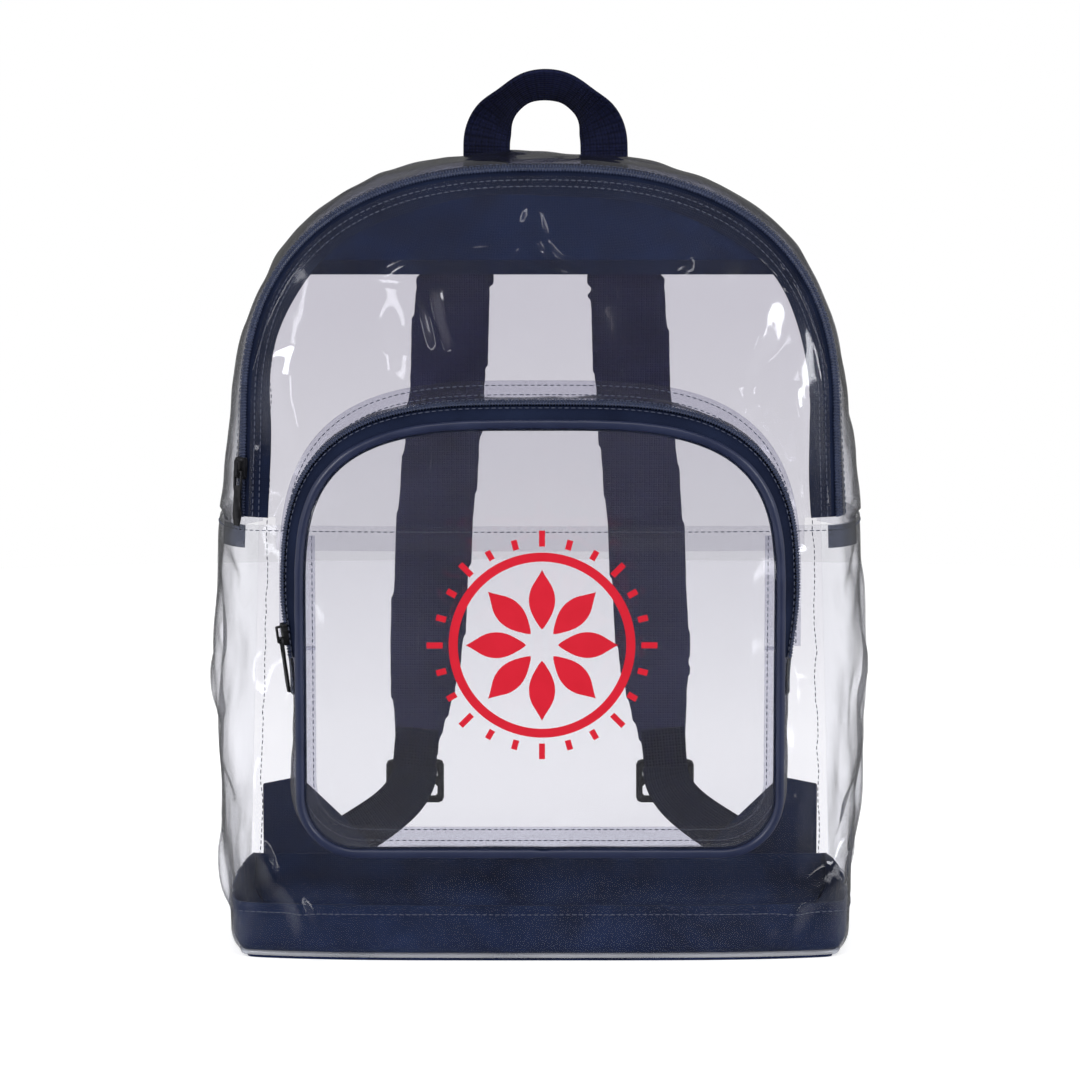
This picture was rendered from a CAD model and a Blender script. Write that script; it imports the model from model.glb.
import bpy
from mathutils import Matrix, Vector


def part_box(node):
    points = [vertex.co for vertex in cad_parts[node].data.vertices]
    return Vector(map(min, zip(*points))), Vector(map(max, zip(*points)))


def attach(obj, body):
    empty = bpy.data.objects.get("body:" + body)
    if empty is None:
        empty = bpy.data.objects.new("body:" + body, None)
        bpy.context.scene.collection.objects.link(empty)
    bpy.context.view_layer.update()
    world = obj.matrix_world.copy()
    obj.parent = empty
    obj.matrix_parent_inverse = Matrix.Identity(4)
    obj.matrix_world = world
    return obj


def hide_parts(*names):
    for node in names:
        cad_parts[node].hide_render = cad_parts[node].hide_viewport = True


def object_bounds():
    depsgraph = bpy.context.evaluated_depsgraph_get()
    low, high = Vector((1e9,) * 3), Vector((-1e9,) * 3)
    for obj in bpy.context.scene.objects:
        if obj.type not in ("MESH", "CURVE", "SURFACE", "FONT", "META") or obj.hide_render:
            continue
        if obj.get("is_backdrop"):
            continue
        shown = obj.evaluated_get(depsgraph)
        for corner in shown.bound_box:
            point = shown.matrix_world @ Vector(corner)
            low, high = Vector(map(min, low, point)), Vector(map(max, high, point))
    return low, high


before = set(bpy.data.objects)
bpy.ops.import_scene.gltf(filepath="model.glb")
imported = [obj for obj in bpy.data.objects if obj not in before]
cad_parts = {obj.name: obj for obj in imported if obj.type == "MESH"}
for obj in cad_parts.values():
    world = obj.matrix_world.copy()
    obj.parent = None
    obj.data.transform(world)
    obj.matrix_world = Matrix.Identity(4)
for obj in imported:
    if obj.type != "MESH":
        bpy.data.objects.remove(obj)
cad_box = [list(corner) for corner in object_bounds()]

import math

import bmesh
import bpy
import numpy as np
from mathutils import Vector, noise

# Camera: a long lens a little above the bag's top, tipped down, so that the far side of the base shows
# through the front.
camera = bpy.data.objects.new("camera", bpy.data.cameras.new("camera"))
bpy.context.scene.collection.objects.link(camera)
camera.data.sensor_width = 36
camera.data.lens = 125.4
camera.data.clip_end = 50
camera.location = (-0.0003, -1.9672, 0.45)
camera.rotation_euler = (math.radians(83.1), 0, 0)
bpy.context.scene.camera = camera

# Studio: a pale floor, a white sweep behind, a darker room in front, and softboxes that the glossy vinyl
# mirrors as bright patches.
scene = bpy.context.scene
scene.view_settings.view_transform = "Standard"
scene.cycles.transparent_max_bounces = 36
scene.cycles.max_bounces = 4
scene.cycles.diffuse_bounces = 2
scene.cycles.glossy_bounces = 2


class Wire:
    """An output socket. Arithmetic on it adds Math nodes to its tree."""

    def __init__(self, socket):
        self.socket = socket
        self.tree = socket.id_data

    def maths(self, operation, *others, clamp=False):
        values = dict(enumerate((self, *others)))
        return add_node(self.tree, "ShaderNodeMath", values, operation=operation, use_clamp=clamp)

    def __add__(self, other):
        return self.maths("ADD", other)

    def __sub__(self, other):
        return self.maths("SUBTRACT", other)

    def __rsub__(self, other):
        return self.maths("MULTIPLY", -1).maths("ADD", other)

    def __mul__(self, other):
        return self.maths("MULTIPLY", other)

    def __truediv__(self, other):
        return self.maths("DIVIDE", other)

    def __pow__(self, other):
        return self.maths("POWER", other)

    __radd__ = __add__
    __rmul__ = __mul__


def add_node(tree, kind, values=None, output=0, **settings):
    """Any node: its settings are set first, then the values or links of its sockets."""
    made = tree.nodes.new(kind)
    for key, value in settings.items():
        setattr(made, key, value)
    for key, value in (values or {}).items():
        if isinstance(value, Wire):
            tree.links.new(value.socket, made.inputs[key])
        else:
            made.inputs[key].default_value = value
    return Wire(made.outputs[output])


def add_light(name, place, target, size, glow):
    """A softbox of the given size in metres, whose face has the given brightness."""
    lamp = bpy.data.lights.new(name, "AREA")
    lamp.shape = "RECTANGLE"
    lamp.size, lamp.size_y = size
    lamp.energy = glow * math.pi * size[0] * size[1]
    holder = bpy.data.objects.new(name, lamp)
    holder.location = place
    aim = Vector(target) - Vector(place)
    holder.rotation_euler = aim.to_track_quat("-Z", "Y").to_euler()
    holder.visible_camera = False
    scene.collection.objects.link(holder)


add_light("softbox_left", (-1.15, -1.45, 1.05), (0, 0, 0.25), (0.5, 0.75), 9.5)
add_light("softbox_right", (1.25, -1.25, 0.85), (0, 0, 0.25), (0.4, 0.9), 7.5)
add_light("softbox_top", (0.1, -0.7, 1.9), (0, 0, 0.2), (1.2, 0.8), 2.2)
add_light("strip_left", (-0.85, -1.7, 0.35), (0, 0, 0.2), (0.12, 0.6), 3.5)
add_light("strip_right", (0.8, -1.75, 0.3), (0, 0, 0.2), (0.1, 0.6), 3.5)

world = bpy.data.worlds.new("room")
world.use_nodes = True
scene.world = world
room = world.node_tree
background = room.nodes["Background"]
facing = add_node(room, "ShaderNodeTexCoord", output=0)
parts = room.nodes.new("ShaderNodeSeparateXYZ")
room.links.new(facing.socket, parts.inputs[0])
sideways = Wire(parts.outputs[0]).maths("ABSOLUTE")
sideways = add_node(room, "ShaderNodeMapRange", {0: sideways, 1: 0.42, 2: 0.95, 3: 0.02, 4: 0.6})
behind = add_node(room, "ShaderNodeMapRange", {0: Wire(parts.outputs[1]), 1: 0, 2: 0.9, 3: 0.0, 4: 0.1})
seen = add_node(room, "ShaderNodeLightPath", output=0)
mirrored = add_node(room, "ShaderNodeLightPath", output=3)
brightness = (sideways + behind) * mirrored + (1 - mirrored) * (seen * 0.4 + 0.6)
room.links.new(brightness.socket, background.inputs["Strength"])
background.inputs["Color"].default_value = (1, 1, 1, 1)

floor_mesh = bpy.data.meshes.new("floor")
reach = 1.6
rim = [(reach * math.cos(a), reach * math.sin(a), 0) for a in np.linspace(0, 2 * math.pi, 97)[:-1]]
floor_mesh.from_pydata(rim, [], [tuple(range(len(rim)))])
floor = bpy.data.objects.new("floor", floor_mesh)
scene.collection.objects.link(floor)
floor.visible_glossy = False
paper = bpy.data.materials.new("white_paper")
paper.use_nodes = True
paper.node_tree.nodes["Principled BSDF"].inputs["Base Color"].default_value = (0.92, 0.92, 0.93, 1)
paper.node_tree.nodes["Principled BSDF"].inputs["Roughness"].default_value = 0.9
paper.node_tree.nodes["Principled BSDF"].inputs["Emission Color"].default_value = (1, 1, 1, 1)
paper.node_tree.nodes["Principled BSDF"].inputs["Emission Strength"].default_value = 0.5
floor_mesh.materials.append(paper)
floor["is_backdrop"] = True

# Clear front panel: vinyl sheet half a millimetre thick, arched at the top, sewn to the zipper all round and
# tucked behind the lower sheet. It stands proud of its seams and carries soft folds.
half_width, foot_flare, arch_foot, crest = 151.5, 9.0, 279.0, 408.5
arch_power, front_seam, back_seam = 2.5, -60.0, 68.0
belly, crown_power, belly_power = 10.0, 2.6, 4.0
wrap_top, tuck, tuck_slope, tuck_depth = 227.0, 13.0, 4.0, 2.2
sheet_edge, sheet_thickness, back_wall = 4.0, 0.55, 1.3
zip_foot, crown_foot = wrap_top + tuck_slope, wrap_top + 0.3

yoke_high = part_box("back_panel")[1]
gusset_low, gusset_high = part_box("upper_gusset")
to_frame = np.array([(gusset_low.x + gusset_high.x) / 2, yoke_high.y - (back_seam + back_wall) / 1000, 0])


def placed(points):
    """Points of the bag's drawing, in millimetres, as points of the frame in metres."""
    return np.asarray(points, float) / 1000 + to_frame


def unit(vectors):
    return vectors / np.maximum(np.linalg.norm(vectors, axis=-1, keepdims=True), 1e-9)


def seam_half(z):
    """Half the width between the seams at a height."""
    z = np.asarray(z, float)
    share = np.clip((z - arch_foot) / (crest - arch_foot), 0, 1)
    low = half_width + foot_flare * (arch_foot - z) / arch_foot
    return np.where(z <= arch_foot, low, half_width * (1 - share**arch_power) ** (1 / arch_power))


def front_at(x, z):
    """The front's place between front and back."""
    across = np.abs(x) / np.maximum(seam_half(np.minimum(z, crown_foot)), 1)
    up = np.maximum(0, (z - crown_foot) / (crest - crown_foot))
    share = np.minimum((across**crown_power + up**crown_power) ** (1 / crown_power), 1)
    return front_seam - belly * (1 - share**belly_power)


def evenly(points, count):
    """An evenly spaced copy of a line of points."""
    reach = np.concatenate([[0], np.cumsum(np.linalg.norm(np.diff(points, axis=0), axis=1))])
    at = np.linspace(0, reach[-1], count)
    return np.stack([np.interp(at, reach, points[:, k]) for k in range(points.shape[1])], 1)


def outwards(points, closed=False):
    """Outward unit vectors of a flat line that runs clockwise, seen from the front."""
    if closed:
        along = np.roll(points, -1, 0) - np.roll(points, 1, 0)
    else:
        along = np.gradient(points, axis=0)
    return unit(np.stack([-along[:, 1], along[:, 0]], 1))


def upright(outs):
    """Flat outward vectors as vectors in space."""
    return np.stack([outs[:, 0], 0 * outs[:, 0], outs[:, 1]], 1)


def seam_path(foot, count):
    """The seams' arch from a height on the left to the same height on the right."""
    angle = np.linspace(0, math.pi / 2, 240)
    x = half_width * np.cos(angle) ** (2 / arch_power)
    z = arch_foot + (crest - arch_foot) * np.sin(angle) ** (2 / arch_power)
    keep = z > foot
    right = np.stack([x[keep], z[keep]], 1)[::-1]
    right = np.vstack([right, [[float(seam_half(foot)), foot]]])
    left = right[:0:-1] * [-1, 1]
    return evenly(np.vstack([left, right]), count)


def waves(points, size, seed):
    """Soft random waves from -1 to 1 over points in millimetres."""
    flat = points.reshape(-1, 3) / size + seed * 7.3
    values = [noise.noise(Vector(p)) for p in flat.tolist()]
    return np.array(values).reshape(points.shape[:-1])


def folds(u, v, rows):
    """Pressed folds: each row has two ends, how far its middle bows aside, its width and its depth."""
    total = np.zeros(np.broadcast(u, v).shape)
    for (u0, v0), (u1, v1), bow, width, depth in rows:
        line = np.array([u1 - u0, v1 - v0], float)
        length = np.hypot(*line)
        ahead, aside = line / length, np.array([-line[1], line[0]]) / length
        at = ((u - u0) * ahead[0] + (v - v0) * ahead[1]) / length
        off = (u - u0) * aside[0] + (v - v0) * aside[1] - bow * 4 * at * (1 - at)
        ends = np.clip(1 - np.abs(2 * at - 1) ** 3, 0, 1)
        total += depth * ends * np.exp(-((off / width) ** 2))
    return total


def normals_of(grid, towards):
    normal = unit(np.cross(np.gradient(grid, axis=0), np.gradient(grid, axis=1)))
    return normal * np.sign((normal * towards).sum(-1).mean())


def lengths(grid, axis):
    """Distance along an axis of a grid, measured on its middle line, in metres."""
    line = np.take(grid, grid.shape[1 - axis] // 2, axis=1 - axis)
    steps = np.linalg.norm(np.diff(line, axis=0), axis=1)
    return np.concatenate([[0], np.cumsum(steps)]) / 1000


def make_piece(name, points, faces, uvs, finish):
    """A smooth mesh from millimetres, with a UV map in metres."""
    mesh = bpy.data.meshes.new(name)
    mesh.from_pydata(placed(points).tolist(), [], faces)
    layer = mesh.uv_layers.new(name="cloth")
    layer.data.foreach_set("uv", np.asarray(uvs, np.float32).ravel())
    mesh.polygons.foreach_set("use_smooth", [True] * len(mesh.polygons))
    mesh.set_sharp_from_angle(angle=math.radians(50))
    mesh.materials.append(finish)
    piece = bpy.data.objects.new(name, mesh)
    scene.collection.objects.link(piece)
    return piece


def walled(name, outer, inner, finish, closed=False):
    """A closed wall between two grids of points with the same rows and columns."""
    rows, columns = outer.shape[:2]
    along = lengths(np.concatenate([outer, outer[:1]]) if closed else outer, 0)
    across = lengths(outer, 1)
    steps = np.meshgrid(np.arange(rows - (not closed)), np.arange(columns - 1), indexing="ij")
    i, j = (step.ravel() for step in steps)
    at = lambda r, c: (r % rows) * columns + c
    corners = ((i, j), (i + 1, j), (i + 1, j + 1), (i, j + 1))
    top = np.stack([at(r, c) for r, c in corners], 1)
    uv = np.stack([np.stack([along[r], across[c]], 1) for r, c in corners], 1)
    a, b, c = (outer.reshape(-1, 3)[top[len(top) // 2, k]] for k in (0, 1, 2))
    out = outer.reshape(-1, 3)[top[len(top) // 2, 0]] - inner.reshape(-1, 3)[top[len(top) // 2, 0]]
    turned = np.dot(np.cross(b - a, c - b), out) < 0
    size = rows * columns
    faces, maps = [top, top[:, ::-1] + size], [uv, uv[:, ::-1]]

    def rim(first, second, spread):
        faces.append(np.stack([second, first, first + size, second + size], 1))
        maps.append(np.stack([spread[1], spread[0], spread[0], spread[1]], 1))

    r = np.arange(rows - (not closed))
    zero = np.zeros(len(r))
    here, beyond = np.stack([along[r], zero], 1), np.stack([along[r + 1], zero], 1)
    last = columns - 1
    rim(at(r, 0), at(r + 1, 0), [here, beyond])
    rim(at(r + 1, last), at(r, last), [beyond, here])
    if not closed:
        c = np.arange(columns - 1)
        zero = np.zeros(len(c))
        here, beyond = np.stack([zero, across[c]], 1), np.stack([zero, across[c + 1]], 1)
        rim(at(0, c + 1), at(0, c), [beyond, here])
        rim(at(rows - 1, c), at(rows - 1, c + 1), [here, beyond])
    faces, maps = np.concatenate(faces), np.concatenate(maps)
    if turned:
        faces, maps = faces[:, ::-1], maps[:, ::-1]
    points = np.concatenate([outer.reshape(-1, 3), inner.reshape(-1, 3)])
    return make_piece(name, points, faces.tolist(), maps.reshape(-1, 2), finish)


def fasten(piece, slot, *stands_for, body="bag"):
    """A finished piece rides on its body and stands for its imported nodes."""
    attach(piece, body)
    if stands_for:
        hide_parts(*stands_for)
    piece.visible_shadow = slot != "clear_vinyl"


def start_material(name):
    material = bpy.data.materials.new(name)
    material.use_nodes = True
    material.node_tree.nodes.remove(material.node_tree.nodes["Principled BSDF"])
    return material, material.node_tree


def finish_material(material, surface):
    tree = material.node_tree
    tree.links.new(surface.socket, tree.nodes["Material Output"].inputs["Surface"])
    return material


def clear_vinyl(name, tint, haze, ripple=0.12, smoky=None, smoke_rise=(0.1, 0.33)):
    """Clear sheet: it lets most light through, mirrors the room more at a slant, and has a faint milky haze.

    A smoky sheet has a second tint, which takes over from the first between two heights in metres.
    """
    material, tree = start_material(name)
    place = add_node(tree, "ShaderNodeTexCoord", output=3)
    grain = add_node(tree, "ShaderNodeTexNoise", {"Vector": place, "Scale": 55, "Detail": 1})
    swirl = add_node(tree, "ShaderNodeTexNoise", {"Vector": place, "Scale": 15, "Detail": 1})
    height = grain * 0.22 + swirl
    bump = add_node(tree, "ShaderNodeBump", {"Height": height, "Strength": ripple, "Distance": 0.012})
    slant = add_node(tree, "ShaderNodeLayerWeight", {"Blend": 0.5, "Normal": bump}, output=1)
    mirror = slant**5 * 0.9 + 0.045
    milky = swirl * haze + haze * 0.3
    skin = add_node(
        tree,
        "ShaderNodeBsdfPrincipled",
        {
            "Base Color": (0.82, 0.83, 0.87, 1),
            "Roughness": swirl * 0.1 + 0.03,
            "Metallic": mirror / (mirror + milky),
            "Normal": bump,
        },
    )
    clear = add_node(tree, "ShaderNodeBsdfTransparent", {"Color": (*tint, 1)})
    if smoky:
        split = tree.nodes.new("ShaderNodeSeparateXYZ")
        tree.links.new(place.socket, split.inputs[0])
        rise = add_node(tree, "ShaderNodeMapRange", {0: Wire(split.outputs[2]), 1: smoke_rise[0], 2: smoke_rise[1]})
        smoke = add_node(tree, "ShaderNodeBsdfTransparent", {"Color": (*smoky, 1)})
        clear = add_node(tree, "ShaderNodeMixShader", {0: rise, 1: clear, 2: smoke})
    share = (mirror + milky).maths("MINIMUM", 1)
    return finish_material(material, add_node(tree, "ShaderNodeMixShader", {0: share, 1: clear, 2: skin}))


upper_vinyl = clear_vinyl("clear_vinyl_upper", (0.955, 0.952, 0.968), 0.006, 0.3)

zip_seam = seam_path(zip_foot, 321)
zip_outs = outwards(zip_seam)
ray_shares = np.concatenate([np.linspace(0, 0.8, 74), np.linspace(0.809, 1, 24)])
tucked_half = float(seam_half(zip_foot)) - sheet_edge - 14
foot_x = np.linspace(-tucked_half, tucked_half, len(zip_seam))
edge = zip_seam - zip_outs * sheet_edge
rays_x = foot_x[:, None] + (edge[:, :1] - foot_x[:, None]) * ray_shares
rays_z = zip_foot + (edge[:, 1:] - zip_foot) * ray_shares
tuck_z = np.array([wrap_top - tuck, wrap_top - tuck * 0.6, wrap_top - tuck * 0.2, crown_foot])
panel_x = np.concatenate([np.repeat(foot_x[:, None], 4, 1), rays_x], 1)
panel_z = np.concatenate([np.tile(tuck_z, (len(zip_seam), 1)), rays_z], 1)
panel_y = front_at(panel_x, panel_z)
panel_y[:, :4] += tuck_depth

panel_folds = [
    ((-88, 354), (-40, 372), 3, 3.2, 2.2),
    ((-44, 372), (-8, 380), -4, 3.2, 2.4),
    ((-86, 353), (-30, 358), -4, 3.0, -1.3),
    ((-34, 359), (-10, 372), -4, 3.0, 1.4),
    ((-5, 402), (-9, 376), 2, 3.0, 2.8),
    ((-1, 402), (2, 372), -2, 3.0, 2.8),
    ((0, 374), (22, 356), -4, 3.0, 2.1),
    ((6, 388), (40, 376), 3, 3.2, 2.3),
    ((36, 377), (74, 366), -3, 3.2, 2.2),
    ((22, 356), (78, 360), -3, 3.0, -1.3),
    ((26, 366), (44, 370), 3, 3.0, 1.2),
    ((40, 392), (80, 378), 2, 9, 2.4),
    ((-62, 352), (-50, 312), 3, 6, 3.4),
    ((-50, 346), (-42, 318), -2, 4, -2.4),
    ((-128, 318), (-112, 262), -6, 14, -3.2),
    ((-104, 334), (-74, 292), 6, 16, 2.2),
    ((118, 352), (98, 300), 3, 9, -3.2),
    ((112, 318), (126, 254), -5, 10, 3.4),
    ((96, 284), (128, 276), 3, 7, -2.4),
    ((98, 262), (118, 286), 2, 5, 2.4),
    ((128, 300), (131, 250), 2, 6, -2.2),
]
panel_edge = np.concatenate([np.ones(4), ray_shares])
calm = np.clip((1 - panel_edge - 0.07) / 0.14, 0, 1) ** 0.8
pocket_near = np.hypot(panel_x / 132, np.maximum(panel_z - 190, 0) / 106)
calm = calm * np.clip(np.abs(pocket_near - 1) / 0.1, 0, 1)
panel_grid = np.stack([panel_x, panel_y, panel_z], -1)
ripples = waves(panel_grid, 58, 1) * 3.6 + waves(panel_grid, 27, 2) * 1.1
panel_grid[..., 1] += calm * (folds(panel_x, panel_z, panel_folds) + ripples)
front = np.array([0, -1.0, 0])
panel_normal = normals_of(panel_grid, front)
front_panel = walled("clear_front_panel", panel_grid, panel_grid - panel_normal * sheet_thickness, upper_vinyl)
fasten(front_panel, "clear_vinyl", "front_panel_upper")

# Clear side and top strip: one long sheet from the zipper to the back seam, pushed out by its own stiffness.
side_swell, swell_power = 16.0, 2.7
swell_heights = [0, 0.073, 0.147, 0.245, 0.318, 0.465, 0.563, 0.636, 0.734, 0.832, 1]
swell_shares = [0.1, 0.3, 0.56, 0.81, 0.91, 1, 0.94, 0.75, 0.47, 0.38, 0.4]


def side_out(y, z, front_y):
    """How far out of the seams a side stands, smoothed over the height."""
    spread = np.linspace(-16, 16, 9)
    taps = [np.interp((z + shift) / crest, swell_heights, swell_shares) for shift in spread]
    middle, half = (front_y + back_seam) / 2, (back_seam - front_y) / 2
    return side_swell * np.mean(taps, 0) * np.maximum(0, 1 - np.abs((y - middle) / half) ** swell_power)


side_vinyl = clear_vinyl("clear_vinyl_side", (0.94, 0.94, 0.958), 0.008, 0.5, (0.66, 0.66, 0.71), (0.29, 0.42))
strip_foot = np.array([wrap_top - tuck, wrap_top - tuck / 2, wrap_top + 0.3])
foot_half = seam_half(strip_foot)
strip_x = np.concatenate([-foot_half, zip_seam[:, 0], foot_half[::-1]])
strip_z = np.concatenate([strip_foot, zip_seam[:, 1], strip_foot[::-1]])
strip_outs = np.vstack([[[-1, 0]] * 3, zip_outs, [[1, 0]] * 3])
strip_front = front_at(strip_x, strip_z)
strip_tuck = np.concatenate([np.ones(3), np.zeros(len(zip_seam)), np.ones(3)])
strip_start = strip_front + sheet_edge + 14 * strip_tuck
shares = np.linspace(0, 1, 34)
strip_y = strip_start[:, None] + (back_seam - strip_start[:, None]) * shares
strip_out = side_out(strip_y, strip_z[:, None], strip_front[:, None]) - tuck_depth * strip_tuck[:, None]
strip_grid = np.stack(
    [
        strip_x[:, None] + strip_outs[:, :1] * strip_out,
        strip_y,
        strip_z[:, None] + strip_outs[:, 1:] * strip_out,
    ],
    -1,
)
strip_facing = upright(strip_outs)[:, None]
strip_normal = normals_of(strip_grid, strip_facing)
strip_calm = np.sin(math.pi * shares) ** 0.7 * (1 - strip_tuck[:, None])
strip_ripples = waves(strip_grid, 48, 3) * 2.6 + waves(strip_grid * [1, 0.4, 1], 16, 4) * 1.1
strip_grid = strip_grid + strip_normal * (strip_calm * strip_ripples)[..., None]
strip_normal = normals_of(strip_grid, strip_facing)
side_strip = walled("clear_side_strip", strip_grid, strip_grid - strip_normal * sheet_thickness, side_vinyl)
fasten(side_strip, "clear_vinyl", "upper_gusset")

# Clear lower sheet: one piece from back seam to back seam round the front, turned under at the foot and drawn
# into sharp creases at its two front corners.
bottom_round, base_edge_angle = 14.0, 0.84
corner_softness = 6.5
wrap_columns = 285


def wrap_outline(z):
    """The sheet's line at a height, from the back on the left round the front to the back on the right."""
    half = float(seam_half(z))
    front_y = float(front_at(half, z))
    y = np.linspace(back_seam, front_y, 60)
    left = np.stack([-half - side_out(y, z, front_y), y], 1)
    x = np.linspace(-half, half, 120)[1:-1]
    middle = np.stack([x, front_at(x, np.full_like(x, z))], 1)
    line = evenly(np.vstack([left, middle, left[::-1] * [-1, 1]]), wrap_columns)
    spacing = np.linalg.norm(line[1] - line[0])
    for _ in range(round(2 * (corner_softness / spacing) ** 2)):
        line[1:-1] = (line[:-2] + 2 * line[1:-1] + line[2:]) / 4
    return line


def wrap_rows(levels, depth):
    """Rows of the sheet: levels above 0 are heights over the bottom's round, and below 0 angles round it."""
    rows = []
    for level in levels:
        radius = bottom_round - depth
        turned = radius * (1 - math.cos(level)) if level < 0 else 0
        z = bottom_round + (level if level >= 0 else radius * math.sin(level))
        line = wrap_outline(z)
        along = np.gradient(line, axis=0)
        out = unit(np.stack([along[:, 1], -along[:, 0]], 1))
        under = out.copy()
        from_end = np.minimum(np.arange(len(line)), np.arange(len(line))[::-1])
        under[:, 1] += (1 - out[:, 1]) * np.clip(1 - from_end / 8, 0, 1)
        flat = line - out * depth - under * turned
        rows.append(np.column_stack([flat, np.full(len(line), z)]))
    return np.array(rows).transpose(1, 0, 2)


lower_vinyl = clear_vinyl("clear_vinyl_lower", (0.955, 0.955, 0.968), 0.006, 0.35)
wrap_levels = np.concatenate([np.linspace(-base_edge_angle, 0, 8)[:-1], np.linspace(0, wrap_top - bottom_round, 74)])
wrap_grid = wrap_rows(wrap_levels, 0)
wrap_facing = wrap_grid * [1, 1.6, 0]
wrap_normal = normals_of(wrap_grid, wrap_facing)
wrap_s = lengths(wrap_grid, 0) * 1000
corner_s = 136.0
wrap_end = wrap_s[-1]
wrap_u = np.where(wrap_s < wrap_end / 2, wrap_s - corner_s, wrap_end - corner_s - wrap_s)[:, None]
wrap_z = wrap_grid[..., 2]
on_left = (wrap_s < wrap_end / 2)[:, None]

left_folds = [
    ((-30, 96), (4, 56), 6, 6, -3.4),
    ((-14, 84), (16, 40), 5, 4, 3.0),
    ((-44, 60), (6, 24), -6, 6, 3.2),
    ((10, 50), (34, 14), 4, 5, 2.8),
    ((-6, 34), (24, 12), -3, 4, -2.0),
    ((-70, 150), (-36, 128), 5, 8, 2.6),
    ((-62, 128), (-20, 118), -4, 6, -2.0),
    ((-84, 190), (-60, 96), 8, 9, -2.4),
    ((-24, 176), (-8, 150), 4, 7, 2.2),
    ((-30, 205), (-4, 196), 2, 6, -1.8),
]
right_folds = [
    ((-34, 88), (2, 50), 5, 5, -3.2),
    ((-20, 72), (14, 34), -5, 4, 3.2),
    ((-10, 46), (26, 16), 5, 5, 3.0),
    ((16, 30), (40, 12), 2, 4, 2.2),
    ((-76, 140), (-44, 70), 7, 8, -2.4),
    ((-52, 204), (-30, 120), -6, 8, 2.4),
    ((-30, 150), (-14, 104), 3, 6, -1.8),
    ((-84, 120), (-60, 160), 4, 7, 2.2),
    ((-40, 206), (-6, 190), 3, 6, -2.0),
]
wrap_folds = np.where(on_left, folds(wrap_u, wrap_z, left_folds), folds(wrap_u, wrap_z, right_folds))
edges = np.minimum(np.arange(wrap_columns), np.arange(wrap_columns)[::-1])[:, None]
wrap_calm = np.clip(edges / 10, 0, 1) * np.clip((wrap_top - wrap_z) / 16, 0, 1) * np.clip(wrap_z / 14, 0, 1)
behind_pocket = np.clip((wrap_u - 22) / 14, 0, 1)
wrap_ripples = waves(wrap_grid, 52, 5) * 3.0 + waves(wrap_grid * [1, 1, 0.6], 20, 6) * 1.1
push = wrap_folds + wrap_ripples * (1 - 0.75 * behind_pocket)
base_room = np.clip((44 - wrap_z) / 12, 0, 1)
push = push * (1 - base_room) + np.maximum(push, -0.3) * base_room
wrap_grid = wrap_grid + wrap_normal * (push * 1.3 * wrap_calm)[..., None]
wrap_normal = normals_of(wrap_grid, wrap_facing)
lower_sheet = walled("clear_lower_sheet", wrap_grid, wrap_grid - wrap_normal * sheet_thickness, lower_vinyl)
fasten(lower_sheet, "clear_vinyl", "body_wrap_lower")

# Clear back: flat sheet under the straps, bound into the back seam.
back_gap = 0.3
back_face = back_seam + back_gap + 1
back_top = 356.0
back_vinyl = clear_vinyl("clear_vinyl_back", (0.985, 0.983, 0.99), 0.003, smoky=(0.86, 0.85, 0.885))
back_levels = np.concatenate([np.linspace(-base_edge_angle, 0, 8)[:-1], np.linspace(0, back_top - bottom_round, 60)])


def back_rows(levels, depth, columns):
    rows = []
    for level in levels:
        radius = bottom_round - depth
        turned = radius * (1 - math.cos(level)) if level < 0 else 0
        z = bottom_round + (level if level >= 0 else radius * math.sin(level))
        half = float(seam_half(z)) - back_gap - turned / 2
        x = np.linspace(-half, half, columns)
        rows.append(np.column_stack([x, np.full(columns, back_seam - depth - turned), np.full(columns, z)]))
    return np.array(rows).transpose(1, 0, 2)


back_grid = back_rows(back_levels, -back_wall, 61)
back_inner = back_rows(back_levels, sheet_thickness - back_wall, 61)
slack = waves(back_grid, 70, 8) * 1.6
across_back = np.abs(back_grid[..., 0]) / seam_half(back_grid[..., 2])
slack *= np.clip((0.97 - across_back) / 0.2, 0, 1) * np.clip((back_grid[..., 2] - 70) / 40, 0, 1)
slack *= np.clip((340 - back_grid[..., 2]) / 30, 0, 1)
for grid in (back_grid, back_inner):
    grid[..., 1] += slack - np.abs(slack) * 0.2
clear_back = walled("clear_back", back_grid, back_inner, back_vinyl)
fasten(clear_back, "clear_vinyl", "back_panel")

# Navy yoke: coated nylon cloth over the top of the back, its lower edge folded to a hem and stitched.
yoke_foot, yoke_thickness = 348.0, 0.9


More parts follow.
